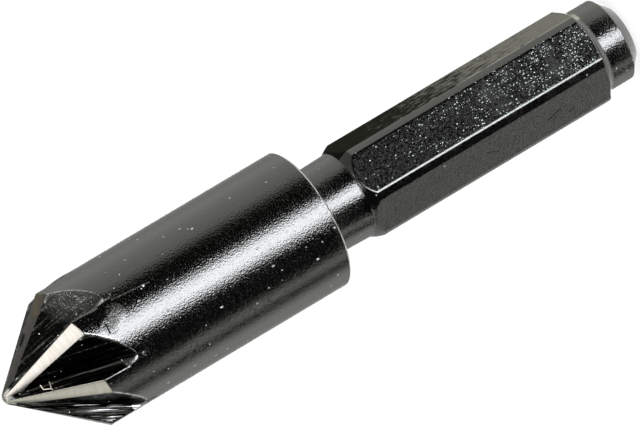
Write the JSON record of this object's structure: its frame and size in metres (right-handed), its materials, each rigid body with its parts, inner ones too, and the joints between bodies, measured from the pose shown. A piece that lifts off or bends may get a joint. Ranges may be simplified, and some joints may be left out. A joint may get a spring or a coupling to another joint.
{
  "type": "countersink bit",
  "caption": "One-piece steel countersink bit with a fluted conical cutting end, a round head, a short neck and a hexagonal shank with a round end.",
  "frame": {"origin": "centre of the shank's flat end, on which the bit stands", "axes": "+Z along the tool axis from the shank end to the tip; one flat of the hexagon faces -Y"},
  "size_m": [0.01, 0.01, 0.0493],
  "materials": {
    "steel": "dark polished tool steel with brighter ground cutting lands"
  },
  "bodies": {
    "root": {"countersink_bit": "steel"}
  },
  "joints": []
}
